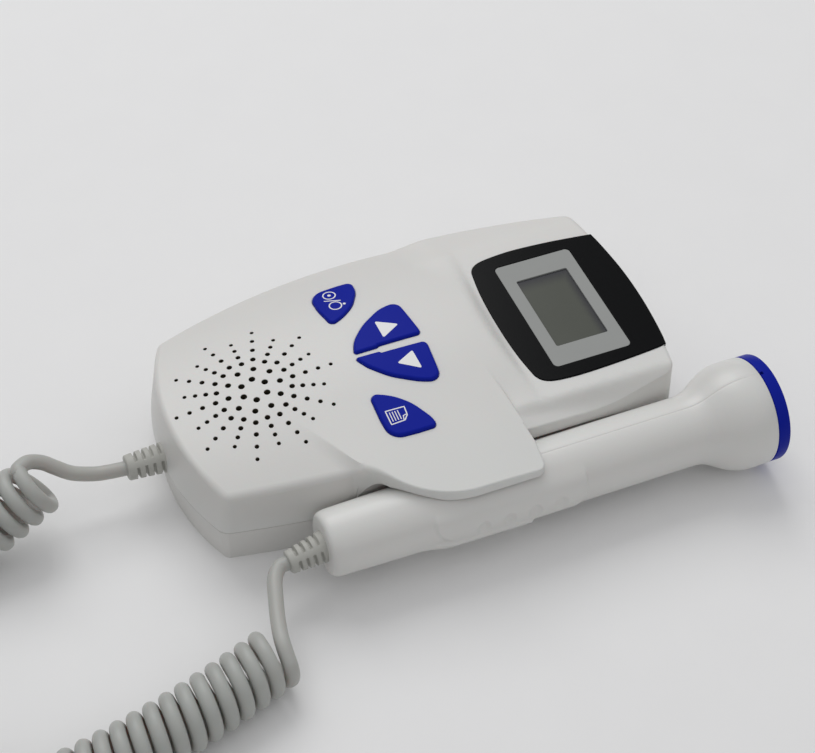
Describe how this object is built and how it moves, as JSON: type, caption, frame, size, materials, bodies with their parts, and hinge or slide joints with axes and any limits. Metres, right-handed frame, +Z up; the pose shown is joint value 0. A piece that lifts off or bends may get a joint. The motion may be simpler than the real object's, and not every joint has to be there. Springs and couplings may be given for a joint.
{
  "type": "fetal doppler monitor",
  "caption": "Pocket fetal heart monitor: crowned case with speaker grille, blue keys and display, and an ultrasound probe docked at its side on a coiled cord.",
  "frame": {"origin": "middle of the flat underside of the case, on the table", "axes": "+X along the case toward the display, +Y toward the side away from the probe, +Z up"},
  "size_m": [0.2581, 0.1325, 0.0332],
  "materials": {
    "case_plastic": "fine satin",
    "probe_plastic": "satin",
    "window_black": "polished",
    "rubber_dark": "matt",
    "lcd_frame_grey": "matt",
    "lcd_panel": "satin glass, opaque display",
    "inner_plastic": "matt",
    "key_blue": "satin",
    "silicone_grey": "matt",
    "board_green": "satin",
    "inner_dark": "matt",
    "paper_dark": "pressed paper",
    "steel_plain": "plain",
    "battery_can": "satin lacquer",
    "contact_metal": "plated",
    "relief_grey": "satin",
    "cord_grey": "satin",
    "face_plastic": "smooth",
    "piezo_ceramic": "matt ceramic"
  },
  "bodies": {
    "case": {"upper_housing": "case_plastic", "lower_housing": "case_plastic", "display_window": "window_black", "window_gasket": "rubber_dark", "lcd_bezel": "lcd_frame_grey", "lcd_glass": "lcd_panel", "lcd_backlight": "inner_plastic", "keypad_mat": "silicone_grey", "main_board": "board_green", "speaker_frame": "inner_dark", "speaker_cone": "paper_dark", "speaker_magnet": "steel_plain", "speaker_gasket": "rubber_dark", "battery_left": "battery_can", "battery_right": "battery_can", "battery_contacts": "contact_metal", "battery_springs": "contact_metal", "housing_screws": "steel_plain", "rubber_feet": "rubber_dark", "earphone_jack": "inner_dark", "strain_relief_body": "relief_grey", "cord_lead_body": "cord_grey", "cord_coil": "cord_grey", "cord_lead_probe": "cord_grey"},
    "key_power": {"button_power": "key_blue"},
    "key_up": {"button_up": "key_blue"},
    "key_down": {"button_down": "key_blue"},
    "key_record": {"button_record": "key_blue"},
    "door": {"battery_door": "case_plastic"},
    "probe": {"probe_shell_near": "probe_plastic", "probe_shell_far": "probe_plastic", "probe_ring": "key_blue", "probe_face": "face_plastic", "piezo_disc": "piezo_ceramic", "probe_backing": "inner_dark", "probe_board": "board_green", "strain_relief_probe": "relief_grey"}
  },
  "joints": [
    {"name": "press_power", "type": "slide", "parent": "case", "child": "key_power", "axis": [0, 0, -1], "range_m": [0, 0.0008], "stiffness_N_per_m": 700, "springref_m": -0.0006},
    {"name": "press_up", "type": "slide", "parent": "case", "child": "key_up", "axis": [0, 0, -1], "range_m": [0, 0.0008], "stiffness_N_per_m": 700, "springref_m": -0.0006},
    {"name": "press_down", "type": "slide", "parent": "case", "child": "key_down", "axis": [0, 0, -1], "range_m": [0, 0.0008], "stiffness_N_per_m": 700, "springref_m": -0.0006},
    {"name": "press_record", "type": "slide", "parent": "case", "child": "key_record", "axis": [0, 0, -1], "range_m": [0, 0.0008], "stiffness_N_per_m": 700, "springref_m": -0.0006},
    {"name": "door_slide", "type": "slide", "parent": "case", "child": "door", "axis": [1, 0, 0], "range_m": [0, 0.02]},
    {"name": "probe_undock", "type": "slide", "parent": "case", "child": "probe", "axis": [1, 0, 0], "range_m": [0, 0.04]}
  ]
}
